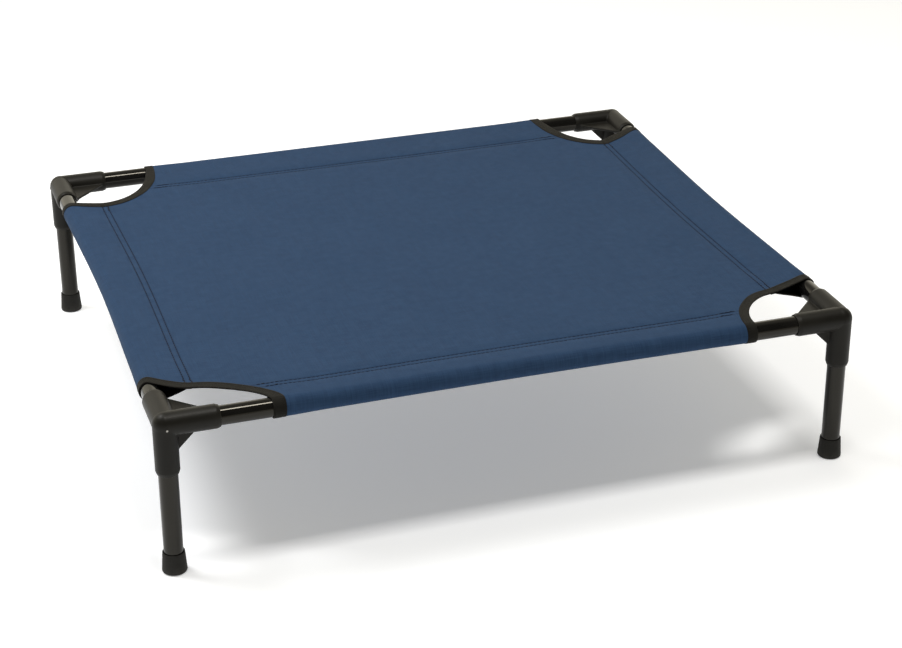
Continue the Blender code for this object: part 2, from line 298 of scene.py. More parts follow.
class Surface(Nodes):
    """A material being built: a Principled shader and the nodes that feed it."""

    def __init__(self, name, **uniform):
        self.material = bpy.data.materials.new(name)
        super().__init__(self.material)
        self.shader = self.tree.nodes["Principled BSDF"]
        self.finish(**uniform)

    def noise(self, vector, scale, detail=2.0, roughness=0.5):
        inputs = {"Vector": vector, "Scale": scale, "Detail": detail, "Roughness": roughness}
        return self.node("ShaderNodeTexNoise", inputs).outputs["Fac"]

    def stretch(self, vector, scale):
        return self.node("ShaderNodeMapping", {"Vector": vector, "Scale": scale}).outputs[0]

    def blend(self, factor, first, second):
        inputs = {0: factor, 6: first, 7: second}
        return self.node("ShaderNodeMix", inputs, data_type="RGBA").outputs[2]

    def clouds(self, value, low, high, first, second):
        """From the first colour to the second as a noise goes from low to high."""
        return self.blend(self.remap(value, low, high, 0, 1), first, second)

    def position(self):
        return self.node("ShaderNodeTexCoord").outputs["Object"]

    def flat_place(self):
        return self.node("ShaderNodeAttribute", attribute_name="flat_place").outputs["Vector"]

    def bump(self, height, distance, strength=1.0, before=None):
        inputs = {"Height": height, "Distance": distance, "Strength": strength}
        if before:
            inputs["Normal"] = before
        return self.node("ShaderNodeBump", inputs).outputs[0]

    def finish(self, **sockets):
        for socket, value in sockets.items():
            self.set(self.shader.inputs[socket.replace("_", " ")], value)
        return self.material


WEAVE_PITCH = 0.0011
RIB_PITCH = 0.0011
TAPE_YARN_PITCH = 0.0007
GATE_PLACE = (0.0, -0.0139, -0.0015)
GATE_RADIUS = 0.0013
DUST_HEIGHT = 0.012


def cloth_material():
    """Navy polyester in a plain weave, with slightly uneven yarns and a dusting of sheen."""
    s = Surface("navy_woven_polyester", Sheen_Weight=0.05, Sheen_Roughness=0.45,
                Sheen_Tint=(0.45, 0.65, 0.95), Specular_IOR_Level=0.08)
    place = s.flat_place()
    parts = s.parts(place)
    turns = math.pi / WEAVE_PITCH
    across = s.math("SINE", s.product(parts[0], turns))
    down = s.math("SINE", s.product(parts[1], turns))
    crossing = s.product(across, down)
    warp = s.noise(s.stretch(place, (900, 26, 1)), 1.0)
    weft = s.noise(s.stretch(place, (26, 900, 1)), 1.0)
    yarns = s.math("ADD", warp, weft)
    patches = s.noise(place, 11.0, 3.0)
    mottle = s.noise(place, 90.0, 3.0)
    tone = s.math("ADD", s.product(patches, 0.35), s.product(mottle, 0.65))
    base = s.clouds(tone, 0.36, 0.64, (0.0176, 0.0410, 0.0905), (0.0215, 0.0475, 0.1020))
    streaked = s.clouds(yarns, 0.7, 1.3, (0.80, 0.81, 0.84), (1.19, 1.17, 1.14))
    colour = s.node("ShaderNodeMix", {0: 1.0, 6: base, 7: streaked},
                    data_type="RGBA", blend_type="MULTIPLY").outputs[2]
    # Painted shade: the cloth's colour goes towards near-black navy along the stitch rows' grooves.
    rows = s.node("ShaderNodeAttribute", attribute_name="seam_row").outputs["Fac"]
    colour = s.blend(s.product(rows, 0.55), colour, (0.006, 0.011, 0.028))
    weave = s.bump(crossing, 0.00011, 0.9)
    fibres = s.bump(yarns, 0.00016, 0.55, weave)
    rough = s.remap(yarns, 0.7, 1.3, 0.74, 0.90)
    return s.finish(Base_Color=colour, Roughness=rough, Normal=fibres)


def tape_material():
    """Black woven tape: fine ribs across it, and streaks of lighter dusty fuzz."""
    s = Surface("black_binding_tape", Sheen_Weight=0.03, Sheen_Roughness=0.5,
                Sheen_Tint=(0.9, 0.88, 0.82), Specular_IOR_Level=0.10)
    place = s.flat_place()
    parts = s.parts(place)
    ribs = s.math("SINE", s.product(parts[0], 2 * math.pi / RIB_PITCH))
    yarn = s.math("SINE", s.product(parts[1], 2 * math.pi / TAPE_YARN_PITCH))
    fuzz = s.noise(s.stretch(place, (700, 160, 1)), 1.0, 3.0)
    height = s.math("ADD", s.product(ribs, 0.6), s.product(s.product(ribs, yarn), 0.4))
    tone = s.noise(place, 70.0, 3.0)
    base = s.clouds(tone, 0.35, 0.65, (0.0055, 0.0052, 0.0043), (0.0090, 0.0085, 0.0070))
    colour = s.blend(s.remap(fuzz, 0.45, 0.75, 0, 0.35), base, (0.020, 0.019, 0.016))
    bumped = s.bump(fuzz, 0.00010, 0.5, s.bump(height, 0.00010, 0.9))
    return s.finish(Base_Color=colour, Roughness=s.remap(fuzz, 0.3, 0.7, 0.66, 0.84), Normal=bumped)


def thread_material(name, dark, light):
    """Twisted thread: a fine grain of lighter and darker plies."""
    s = Surface(name, Specular_IOR_Level=0.08)
    twist = s.noise(s.position(), 1400.0, 2.0)
    colour = s.clouds(twist, 0.35, 0.65, dark, light)
    return s.finish(Base_Color=colour, Roughness=s.remap(twist, 0.3, 0.7, 0.5, 0.7),
                    Normal=s.bump(twist, 0.00008, 0.6))


def paint_material():
    """Gloss black stove enamel on steel tube, with a trace of orange peel and fine rubs."""
    s = Surface("gloss_black_paint", Specular_IOR_Level=0.30, Specular_Tint=(1.0, 0.95, 0.84))
    place = s.position()
    peel = s.noise(place, 420.0, 2.0)
    cloud = s.noise(place, 35.0, 3.0)
    rubs = s.noise(s.stretch(place, (60, 60, 900)), 1.0, 4.0, 0.7)
    base = s.clouds(cloud, 0.35, 0.65, (0.0042, 0.0042, 0.0042), (0.0065, 0.0063, 0.0060))
    colour = s.blend(s.remap(rubs, 0.66, 0.80, 0, 0.35), base, (0.022, 0.021, 0.020))
    rubbed = s.remap(rubs, 0.62, 0.85, 0, 0.025)
    rough = s.math("ADD", s.remap(cloud, 0.3, 0.7, 0.050, 0.075), rubbed)
    return s.finish(Base_Color=colour, Roughness=rough, Normal=s.bump(peel, 0.00001, 0.2))


def plastic_material():
    """Moulded black polypropylene: fine spark-eroded grain, edges rubbed a shade lighter.

    Round the gate nub on the outside of the elbow, a small pale spot is a painted highlight.
    """
    s = Surface("moulded_black_plastic", Specular_IOR_Level=0.16)
    place = s.position()
    grain = s.noise(place, 1500.0, 3.0, 0.6)
    flow = s.noise(s.stretch(place, (22, 22, 60)), 1.0, 3.0)
    edge = s.node("ShaderNodeNewGeometry").outputs["Pointiness"]
    base = s.clouds(flow, 0.35, 0.65, (0.0075, 0.0070, 0.0056), (0.0105, 0.0098, 0.0078))
    speckled = s.blend(s.remap(grain, 0.55, 0.75, 0, 0.4), base, (0.020, 0.0188, 0.0155))
    colour = s.blend(s.remap(edge, 0.515, 0.56, 0, 0.4), speckled, (0.042, 0.040, 0.033))
    # Painted highlight: a pale spot round the gate nub stands in for a glint.
    gate = s.node("ShaderNodeVectorMath", {0: place, 1: GATE_PLACE}, operation="DISTANCE")
    painted_glint = s.remap(gate.outputs["Value"], GATE_RADIUS * 0.7, GATE_RADIUS * 1.1, 1, 0)
    colour = s.blend(painted_glint, colour, (0.50, 0.49, 0.46))
    rough = s.math("ADD", s.remap(grain, 0.3, 0.7, 0.36, 0.48), s.remap(flow, 0.3, 0.7, 0, 0.06))
    return s.finish(Base_Color=colour, Roughness=rough, Normal=s.bump(grain, 0.00007, 0.4))


def rubber_material():
    """Matt black rubber, scuffed and dusty towards the floor."""
    s = Surface("matt_black_rubber", Specular_IOR_Level=0.15)
    place = s.position()
    grain = s.noise(place, 900.0, 3.0, 0.6)
    scuffs = s.noise(s.stretch(place, (260, 260, 60)), 1.0, 4.0, 0.65)
    height = s.parts(place)[2]
    base = s.clouds(grain, 0.35, 0.65, (0.0125, 0.0120, 0.0106), (0.0175, 0.0168, 0.0150))
    low_down = s.remap(height, DUST_HEIGHT, 0.0, 0.0, 0.55)
    dust = s.product(low_down, s.remap(scuffs, 0.4, 0.7, 0.2, 1))
    colour = s.blend(dust, base, (0.060, 0.057, 0.052))
    return s.finish(Base_Color=colour, Roughness=s.remap(scuffs, 0.3, 0.7, 0.55, 0.72),
                    Normal=s.bump(grain, 0.00010, 0.5))


def floor_material():
    """Pale seamless studio paper."""
    s = Surface("white_paper", Emission_Color=(1.0, 1.0, 1.0), Emission_Strength=0.30,
                Specular_IOR_Level=0.1)
    fibre = s.noise(s.position(), 60.0, 3.0)
    colour = s.blend(fibre, (0.84, 0.86, 0.90), (0.86, 0.88, 0.92))
    return s.finish(Base_Color=colour, Roughness=s.remap(fibre, 0.3, 0.7, 0.85, 0.95))


# --- Laying the flat cloth over the rails ---


def bow_at(side, along):
    """How far the rail stands inwards, this far along it from its middle."""
    free = side.half_span - SOCKET_LENGTH
    return side.bow * (1 + np.cos(np.pi * np.clip(np.abs(along) / free, 0, 1))) / 2


def flare_at(side, along):
    """0 where the cloth is tight on the rail, and 1 at a cut-out."""
    mouth = side.half_span - np.where(along < 0, side.mouths[-1], side.mouths[1])
    return smooth_step((np.abs(along) - mouth + FLARE_LENGTH) / FLARE_LENGTH)


def drape(p, q):
    """How far the deck's cloth lies below the top of the rails, as a negative height."""
    free_x = 1 - np.clip(np.abs(p) / HALF_X, 0, 1) ** 2
    free_y = 1 - np.clip(np.abs(q) / HALF_Y, 0, 1) ** 2
    height = -SAG * free_x * free_y
    waves = np.sin(31 * p + 1.3 + 2 * np.sin(9 * q)) * np.sin(23 * q + 0.4 + 1.5 * np.sin(7 * p))
    height += WAVE_HEIGHT * waves * np.sqrt(free_x * free_y)
    for side in SIDES.values():
        across, along = (p, q) if side.axis == 0 else (q, p)
        depth = side.reach - across * side.sign
        at_end = flare_at(side, along)
        height -= SEAM_DIP * bell(depth - side.seam, SEAM_DIP_WIDTH) * (1 - 0.8 * at_end)
        ripple = np.sin(along * 2 * np.pi / PUCKER_PITCH + 1.1 * np.sin(along * 41))
        height += PUCKER_HEIGHT * ripple * bell(depth - side.seam, PUCKER_WIDTH)
        for row in (-ROW_OFFSET, ROW_OFFSET):
            groove = ROW_GROOVE * bell(depth - side.seam - row, ROW_GROOVE_WIDTH)
            height -= groove * (1 - at_end**4)
        flare = (MOUTH_RADIUS - SNUG_RADIUS) * at_end
        height += flare * bell(np.maximum(depth, 0), FLARE_REACH)
    return height


def loop_shape(side, along):
    """The sleeve's section: its radius, the angle where it leaves the rail, and its flat run."""
    radius = SNUG_RADIUS + (MOUTH_RADIUS - SNUG_RADIUS) * flare_at(side, along)
    depth = side.seam - PLY_JOIN
    height = radius - PLY_LAP
    far = np.hypot(depth, height)
    end = 2 * np.pi - np.arctan2(depth, height) - np.arccos(radius / far)
    run = np.sqrt(far**2 - radius**2)
    return radius, end, run


def round_rail(side, past, along):
    """Section of the cloth past a rail's centre line: outward, upward, and its normal."""
    radius, end, run = loop_shape(side, along)
    arc = radius * end
    angle = np.minimum(past / radius, end)
    straight = np.clip(past - arc, 0, run)
    hem = np.maximum(past - arc - run, 0)
    out = radius * np.sin(angle) + straight * np.cos(end) - hem
    up = radius * np.cos(angle) - straight * np.sin(end)
    joined = smooth_step(straight / run)
    up = up + joined * (drape_under(side, out, along) - TAPE_ROOM * flare_at(side, along))
    turned = np.clip(hem / HEM_TURN, 0, 1)
    normal_out = np.sin(angle) * (1 - turned)
    normal_up = np.cos(angle) * (1 - turned) - turned
    length = np.hypot(normal_out, normal_up)
    return out, up, normal_out / length, normal_up / length


def drape_under(side, out, along):
    """The deck's drape over a place under it, given outward from the rail's centre line."""
    across = side.sign * (side.reach + out)
    p, q = (across, along) if side.axis == 0 else (along, across)
    return drape(p, q)


def lay(p, q, lift=0.0):
    """Where places on the flat cloth end up, lifted off its outer face."""
    p, q = np.broadcast_arrays(np.asarray(p, float), np.asarray(q, float))
    lift = np.broadcast_to(np.asarray(lift, float), p.shape)
    place = [np.clip(p, -HALF_X, HALF_X), np.clip(q, -HALF_Y, HALF_Y)]
    height = RAIL_Z + SNUG_RADIUS + drape(place[0], place[1])
    normal = [np.zeros(p.shape), np.zeros(p.shape), np.ones(p.shape)]
    bowed = [None, None]
    for axis, reach in ((0, HALF_X), (1, HALF_Y)):
        low, high = [s for s in SIDES.values() if s.axis == axis]
        along = place[1 - axis]
        bow = np.where(place[axis] < 0, bow_at(low, along), bow_at(high, along))
        bowed[axis] = place[axis] * (reach - bow) / reach
    for side in SIDES.values():
        flat, along = ((p, q) if side.axis == 0 else (q, p))
        past = flat * side.sign - side.reach
        chosen = past > 0
        out, up, normal_out, normal_up = round_rail(side, np.maximum(past, 0), along)
        bowed[side.axis] = np.where(chosen, bowed[side.axis] + side.sign * out, bowed[side.axis])
        height = np.where(chosen, RAIL_Z + up, height)
        normal[side.axis] = np.where(chosen, side.sign * normal_out, normal[side.axis])
        normal[2] = np.where(chosen, normal_up, normal[2])
    points = np.stack([bowed[0], bowed[1], height], axis=-1)
    return points + np.stack(normal, axis=-1) * lift[..., None]


# --- The cover's cut ---

FLAP_POINTS = 50
ARC_POINTS = 60
SIDE_POINTS = 16


def flap_length(side):
    """Flat cloth past the rail's centre line: round the rail, back under and into the hem."""
    radius, end, run = loop_shape(side, 0.0)
    return float(radius * end + run + PLY_JOIN + HEM_PAST_SEAM)


def corner_sides(corner):
    side_x, side_y, _, _ = CORNERS[corner]
    return SIDES["left" if side_x < 0 else "right"], SIDES["front" if side_y < 0 else "back"]


def edge_along_x(corner, depth_y):
    """The cut-out's edge along X, at a depth in from the front or back rail."""
    cut = CORNERS[corner][3]
    seam = corner_sides(corner)[0].seam
    cosine = np.sqrt(1 - np.clip(depth_y / cut.depth, 0, 1) ** (2 / cut.power))
    return seam + (cut.along_x - seam) * cosine**cut.power


def edge_along_y(corner, depth_x):
    """The cut-out's edge along Y, at a depth in from the side rail."""
    cut = CORNERS[corner][3]
    seam = corner_sides(corner)[0].seam
    past_seam = np.clip((depth_x - seam) / (cut.along_x - seam), 0, 1) ** (2 / cut.power)
    arc = cut.depth * (1 - past_seam) ** (cut.power / 2)
    before_seam = np.clip(1 - depth_x / seam, 0, 1)
    return arc + (cut.along_y - cut.depth) * before_seam**cut.side_power


def flap_edge(corner, side):
    """Depths on the flat cloth past a rail, and the cut-out's edge there, out to the hem.

    The side flaps are cut to lie under the deck's own edge. The others are cut straight.
    """
    end = CORNERS[corner][1 - side.axis]
    past = np.linspace(0, flap_length(side), FLAP_POINTS)
    if side.axis == 1:
        return past, np.full(FLAP_POINTS, side.mouths[end])
    mouth = np.full(FLAP_POINTS, end * (side.half_span - side.mouths[end]))
    out = round_rail(side, past, mouth)[0]
    return past, edge_along_y(corner, np.maximum(-out, 0))


def cut_out_line(corner):
    """The tape's inner edge, from the hem of the front or back flap to that of the side flap.

    Each place is measured on the flat cloth from the leg's axis towards the middle of the bed.
    """
    across_side, along_side = corner_sides(corner)
    seam = across_side.seam
    cut = CORNERS[corner][3]
    past, edge = flap_edge(corner, along_side)
    line = list(zip(edge[::-1], -past[::-1]))
    for angle in np.linspace(0, np.pi / 2, ARC_POINTS)[1:-1]:
        x = seam + (cut.along_x - seam) * math.cos(angle) ** cut.power
        line.append((x, cut.depth * math.sin(angle) ** cut.power))
    before_rail = np.linspace(seam, 0, SIDE_POINTS)[:-1]
    line += [(x, float(edge_along_y(corner, x))) for x in before_rail]
    past, edge = flap_edge(corner, across_side)
    line += list(zip(-past, edge))
    line = resampled(np.array(line, float), LINE_STEP)
    return resampled(eased(line, 5), LINE_STEP)


def eased(line, reach):
    """The line with its kinks rounded over, and its ends kept."""
    weights = bell(np.arange(-2 * reach, 2 * reach + 1), reach)
    weights /= weights.sum()
    padded = np.concatenate([
        2 * line[0] - line[2 * reach:0:-1], line, 2 * line[-1] - line[-2:-2 * reach - 2:-1]
    ])
    return np.stack([np.convolve(padded[:, i], weights, "valid") for i in (0, 1)], axis=1)


def tape_width(corner, line):
    """The folded tape's width along the line, which changes as it is pulled round the rails."""
    at_rail, between, at_side = CORNERS[corner][3].tapes
    width = at_rail + (between - at_rail) * smooth_step(line[:, 1] / TAPE_EASE)
    return width + (at_side - between) * smooth_step(1 - line[:, 0] / TAPE_EASE)


def resampled(line, step):
    """The same line with points an even step apart."""
    lengths = np.hypot(*np.diff(line, axis=0).T)
    travel = np.concatenate([[0], np.cumsum(lengths)])
    count = max(int(round(travel[-1] / step)), 2)
    even = np.linspace(0, travel[-1], count + 1)
    return np.stack([np.interp(even, travel, line[:, i]) for i in (0, 1)], axis=1)


def towards_leg(line, window=6):
    """Unit vectors across the line, on the leg's side, turned gently from point to point."""
    run = np.gradient(line, axis=0)
    weights = np.ones(2 * window + 1)
    course = np.stack([
        np.convolve(np.pad(run[:, i], window, "edge"), weights, "valid") for i in (0, 1)
    ], axis=1)
    course /= np.hypot(*course.T)[:, None]
    return np.stack([-course[:, 1], course[:, 0]], axis=1)


def on_cloth(corner, line):
    """Corner measure to the flat cloth's (p, q)."""
    side_x, side_y, _, _ = CORNERS[corner]
    return np.stack([side_x * (HALF_X - line[:, 0]), side_y * (HALF_Y - line[:, 1])], axis=1)


def cover_outline():
    """The whole cut of the cover, anticlockwise, with its edges inside the folded tape."""
    outline = []
    for corner, forward in (
        ("front_right", True), ("back_right", False), ("back_left", True), ("front_left", False),
    ):
        line = cut_out_line(corner)
        inside_tape = tape_width(corner, line) - TAPE_HOLLOW
        edge = on_cloth(corner, line + inside_tape[:, None] * towards_leg(line))
        outline += list(edge if forward else edge[::-1])
    closed = []
    for start, end in zip(outline, outline[1:] + outline[:1]):
        steps = max(int(np.hypot(*(end - start)) / HEM_STEP), 1)
        closed += [start + (end - start) * i / steps for i in range(steps)]
    return np.array(closed)


def inside(outline, points):
    """Which points are inside the outline."""
    found = np.zeros(len(points), bool)
    for (x0, y0), (x1, y1) in zip(outline, np.roll(outline, -1, axis=0)):
        if y0 == y1:
            continue
        spans = (points[:, 1] < y0) != (points[:, 1] < y1)
        crossing = x0 + (points[:, 1] - y0) * (x1 - x0) / (y1 - y0)
        found ^= spans & (points[:, 0] < crossing)
    return found


DECK_STEP = 0.009
HEM_STEP = 0.006
WRAP_STEP = 0.0022
FINE_STEP = 0.0032
RAIL_STEP = 0.0045            # across a sleeve's top, from its seam to the rail
ROW_POINTS = (-0.0018, -0.0008, 0, 0.0008, 0.0018)
BEYOND_ROWS = (0.0075, 0.0105, 0.014)
COARSE_START = 0.016          # the even grid starts this far in from each seam
ROWS_END = 0.0078             # from a seam's middle to where its close rows of points end
OUTLINE_ROOM = 0.0013         # no inner point is closer to the outline's points than this
MERGE_DISTANCE = 0.00005


def grid(first, second):
    return np.stack(np.meshgrid(first, second, indexing="ij"), axis=-1).reshape(-1, 2)


def cover_places(outline):
    """Points on the flat cloth: close together at seams and round the rails."""
    deck_x = np.linspace(-HALF_X, HALF_X, int(2 * HALF_X / DECK_STEP))
    deck_y = np.linspace(-HALF_Y, HALF_Y, int(2 * HALF_Y / DECK_STEP))
    deck = grid(deck_x, deck_y)
    keep = np.ones(len(deck), bool)
    zones = []
    for side in SIDES.values():
        other = 1 - side.axis
        depth = side.reach - deck[:, side.axis] * side.sign
        keep &= depth > side.seam + COARSE_START
        rows = [0, *(row + shift for row in (-ROW_OFFSET, ROW_OFFSET) for shift in ROW_POINTS)]
        near = side.seam + np.array(sorted([*rows, *BEYOND_ROWS]))
        toward_rail = np.linspace(side.seam - ROWS_END, 0, int(side.seam / RAIL_STEP))
        flap = -np.arange(1, int(flap_length(side) / WRAP_STEP) + 1) * WRAP_STEP
        depths = np.concatenate([near, toward_rail, flap])
        spots = np.arange(-side.half_span, side.half_span, FINE_STEP)
        places = np.zeros((len(depths) * len(spots), 2))
        both = grid(side.sign * (side.reach - depths), spots)
        places[:, side.axis] = both[:, 0]
        places[:, other] = both[:, 1]
        low, high = [s.reach - s.seam for s in SIDES.values() if s.axis == other]
        limit = np.where(places[:, other] < 0, low, high) - COARSE_START * (side.axis == 0)
        zones.append(places[np.abs(places[:, other]) < limit])
    points = np.concatenate([deck[keep], *zones])
    points = points[inside(outline, points)]
    return points[clear_of(outline, points, OUTLINE_ROOM)]


def clear_of(outline, points, distance):
    """Which points stay this far from every point of the outline."""
    keep = np.ones(len(points), bool)
    for near in outline:
        keep &= np.abs(points - near).max(axis=1) > distance
    return keep


def make_cover(material):
    """The whole cover as one sheet: deck, four sleeves and their hems."""
    outline = cover_outline()
    points = cover_places(outline)
    loose = [Vector(p) for p in np.concatenate([outline, points]).tolist()]
    ring = list(range(len(outline)))
    edges = list(zip(ring, ring[1:] + ring[:1]))
    verts, _, faces, _, _, _ = delaunay_2d_cdt(loose, edges, [], 2, MERGE_DISTANCE)
    places = np.array([tuple(v) for v in verts])
    corners = places[np.array([f for f in faces if len(f) == 3])]
    one = corners[:, 1] - corners[:, 0]
    two = corners[:, 2] - corners[:, 0]
    area = float(np.abs(one[:, 0] * two[:, 1] - one[:, 1] * two[:, 0]).sum() / 2)
    mesh = mesh_from_arrays("cover", lay(places[:, 0], places[:, 1]), faces)
    store_place(mesh, places)
    store_painted_row_shade(mesh, places)
    cover = new_object("deck_cloth", mesh, material)
    solidify(cover, CLOTH)
    size = places.max(axis=0) - places.min(axis=0)
    return cover, (float(size[0]), float(size[1])), area


# --- Binding tape ---


def tape_section():
    """The folded tape from the edge of its top ply, round the fold, to the edge below.

    Each entry is what it is measured from, the distance from that, and the lift off the
    middle of the cloth.
    """
    fold = TAPE_LIFT * 1.25
    top = [("edge", 0.0, TAPE_LIFT * 0.94), ("edge", 0.0010, TAPE_LIFT),
           ("edge", TAPE_ROW, TAPE_LIFT * 0.93), ("edge", 0.0040, TAPE_LIFT * 1.06),
           ("fold", 0.0065, TAPE_LIFT * 1.16), ("fold", 0.0045, TAPE_LIFT * 1.18),
           ("fold", 0.0025, TAPE_LIFT * 1.2)]
    top += [("fold", fold * (1 - math.sin(a)), fold * math.cos(a))
            for a in np.linspace(0.35, math.pi / 2, 5)]
    return top + [(origin, distance, -lift) for origin, distance, lift in reversed(top[:-1])]


def make_binding(corner, material):
    """Tape folded over the cloth's edge all round one cut-out."""
    line = cut_out_line(corner)
    across = towards_leg(line)
    width = tape_width(corner, line)
    travel = np.arange(len(line)) * LINE_STEP
    waver = 0.0003 * np.sin(travel * 61 + 0.7) + 0.0002 * np.sin(travel * 143)
    puff = 1 + 0.10 * np.sin(travel * 97 + 2 * np.sin(travel * 37))
    rows, places = [], []
    for origin, distance, lift in tape_section():
        shift = distance + waver if origin == "edge" else width - distance
        flat = on_cloth(corner, line + across * shift[:, None])
        rows.append(lay(flat[:, 0], flat[:, 1], lift * (puff if origin == "fold" else 1.0)))
        places.append(np.stack([travel, shift * np.sign(lift + 1e-9)], axis=1))
    count = len(line)
    faces = [(i * count + j, i * count + j + 1, (i + 1) * count + j + 1, (i + 1) * count + j)
             for i in range(len(rows) - 1) for j in range(count - 1)]
    mesh = mesh_from_arrays(f"tape_{corner}", np.concatenate(rows), faces)
    store_place(mesh, np.concatenate(places))
    binding = new_object(f"binding_tape_{corner}", mesh, material)
    solidify(binding, TAPE)
    return binding


# --- Stitching ---


def stitch_template(length, width, height):
    """One stitch lying along X: a thread that dives into the cloth at both ends."""
    rings, sides = 7, 8
    points = []
    for i in range(rings + 1):
        t = 2 * i / rings - 1
        girth = math.sqrt(max(1 - abs(t) ** 3.2, 0.02))
        lift = height * 0.35 * (1 - t * t) - height * 0.25
        points += [(t * length / 2, girth * width / 2 * math.cos(a),
                    lift + girth * height / 2 * math.sin(a)) for a in whole_turn(sides)]
    return np.array(points), skin(rings + 1, sides)


def make_stitches(name, spots, length, width, height, material):
    """Stitches at (p, q, direction, lift) spots on the flat cloth, as one piece."""
    template, faces = stitch_template(length, width, height)
    spots = np.array(spots, float)
    p, q, angle, lift = spots.T
    step = np.stack([np.cos(angle), np.sin(angle)], axis=1) * PROBE
    centre = lay(p, q, lift)
    ahead = lay(p + step[:, 0], q + step[:, 1], lift)
    behind = lay(p - step[:, 0], q - step[:, 1], lift)
    forward = ahead - behind
    forward /= np.linalg.norm(forward, axis=1)[:, None]
    up = centre - lay(p, q, 0.0)
    up /= np.linalg.norm(up, axis=1)[:, None]
    side = np.cross(up, forward)
    points = (centre[:, None] + template[None, :, 0:1] * forward[:, None]
              + template[None, :, 1:2] * side[:, None] + template[None, :, 2:3] * up[:, None])
    count = len(template)
    every = [tuple(i + n * count for i in face) for n in range(len(spots)) for face in faces]
    mesh = mesh_from_arrays(name, points.reshape(-1, 3), every)
    return new_object(name, mesh, material)


def row_limits(side, depth):
    """Where a stitch row at this depth in from the rail starts and stops along it."""
    limits = {}
    for corner, (side_x, side_y, _, _) in CORNERS.items():
        if (side_x, side_y)[side.axis] == side.sign:
            end = (side_x, side_y)[1 - side.axis]
            edge = edge_along_x if side.axis == 1 else edge_along_y
            limits[end] = end * (side.half_span - float(edge(corner, depth)) - ROW_END[side.axis])
    return limits[-1], limits[1]


def seam_spots(side, draw):
    """Both stitch rows of one seam, on the deck and on the hem below, with backtacked ends."""
    spots = []
    radius, end, run = loop_shape(side, 0.0)
    for row in (-ROW_OFFSET, ROW_OFFSET):
        depth = side.seam + row
        low, high = row_limits(side, depth)
        stations = [(along, 0.0) for along in
                    np.arange(low + draw.uniform(0, STITCH_PITCH), high, STITCH_PITCH)]
        for start, way in ((low, 1), (high, -1)):
            for i in range(int(BACKTACK_LENGTH / STITCH_PITCH)):
                along = start + way * (i + 0.5) * STITCH_PITCH
                stations.append((along, draw.uniform(-1, 1) * BACKTACK_SHIFT))
        below = float(radius * end + run) + PLY_JOIN + row
        for along, shift in stations:
            turn = draw.uniform(-0.05, 0.05) + (math.pi / 2 if side.axis == 0 else 0)
            flats = [side.reach - depth + shift]
            edge = side.half_span - side.mouths[-1 if along < 0 else 1]
            if side.axis == 0 or abs(along) < edge - ROW_END[1]:
                flats.append(side.reach + below + shift)
            for flat in flats:
                place = (side.sign * flat, along) if side.axis == 0 else (along, side.sign * flat)
                spots.append((*place, turn, CLOTH / 2 + THREAD_LIFT))
    return spots


def tape_spots(corner, draw):
    """One row near the inner edge of the tape, on its top and its bottom ply."""
    line = cut_out_line(corner)
    across = towards_leg(line)
    row = resampled(on_cloth(corner, line + across * TAPE_ROW), TAPE_PITCH)
    run = np.gradient(row, axis=0)
    spots = []
    for (p, q), (run_p, run_q) in zip(row[1:-1], run[1:-1]):
        turn = math.atan2(run_q, run_p) + draw.uniform(-0.06, 0.06)
        lift = TAPE_LIFT * 0.93 + TAPE / 2 + TAPE_THREAD_LIFT
        spots += [(p, q, turn, lift), (p, q, turn, -lift)]
    return spots


# --- Frame ---


def swept_tube(name, stations, radius, material, sides=64):
    """A round tube through stations, closed with small rounded ends."""
    stations = [Vector(s) for s in stations]
    ends = ((0, 0.0), (0, 0.82), (0.0004, 1.0))    # distance from the end, share of the radius
    first = [(stations[0] + (stations[1] - stations[0]).normalized() * d, r) for d, r in ends]
    last = [(stations[-1] + (stations[-2] - stations[-1]).normalized() * d, r) for d, r in ends]
    rings = first + [(s, 1.0) for s in stations[1:-1]] + last[::-1]
    direction = (stations[-1] - stations[0]).normalized()
    helper = Vector((0, 0, 1)) if abs(direction.z) < 0.9 else Vector((1, 0, 0))
    across = direction.cross(helper).normalized()
    other = across.cross(direction).normalized()
    points = []
    for centre, share in rings:
        size = max(share * radius, TINY)
        points += [centre + size * (across * math.cos(a) + other * math.sin(a))
                   for a in whole_turn(sides)]
    mesh = mesh_from_arrays(name, points, skin(len(rings), sides))
    item = new_object(name, mesh, material)
    item.data.set_sharp_from_angle(angle=math.radians(40))
    return item


def make_rail(side, material):
    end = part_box(f"{side.name}_rail")[1][1 - side.axis]
    stations = []
    for along in np.linspace(-end, end, 41):
        across = side.sign * (side.reach - float(bow_at(side, along)))
        stations.append((across, along, RAIL_Z) if side.axis == 0 else (along, across, RAIL_Z))
    return swept_tube(f"rail_tube_{side.name}", stations, TUBE_RADIUS, material)


def make_leg(corner, material):
    stations = [corner_place(corner, z) for z in np.linspace(LEG_BOTTOM, LEG_TOP, 6)]
    return swept_tube(f"leg_tube_{corner}", stations, TUBE_RADIUS, material)


def turned_mesh(name, profile, sides=96):
    """A profile of (radius, height), from the inside round to the middle of the base."""
    faces = [face[::-1] for face in skin(len(profile), sides)]
    mesh = mesh_from_arrays(name, turned_points(profile, sides), faces)
    mesh.set_sharp_from_angle(angle=math.radians(50))
    return mesh


CAP_RIM_RADIUS = 0.0125
CAP_FLOOR = 0.004
CAP_CLEARANCE = 0.00025
CAP_FOOT = 0.0024             # rounding of the foot's edge
CAP_DISH = (0.0095, 0.0088, 0.0006)    # the base's hollow: radius at its edge and inside, depth


def arc_points(centre, radius, start, end, count):
    return [(centre[0] + radius * math.cos(math.radians(a)),
             centre[1] + radius * math.sin(math.radians(a)))
            for a in np.linspace(start, end, count)]


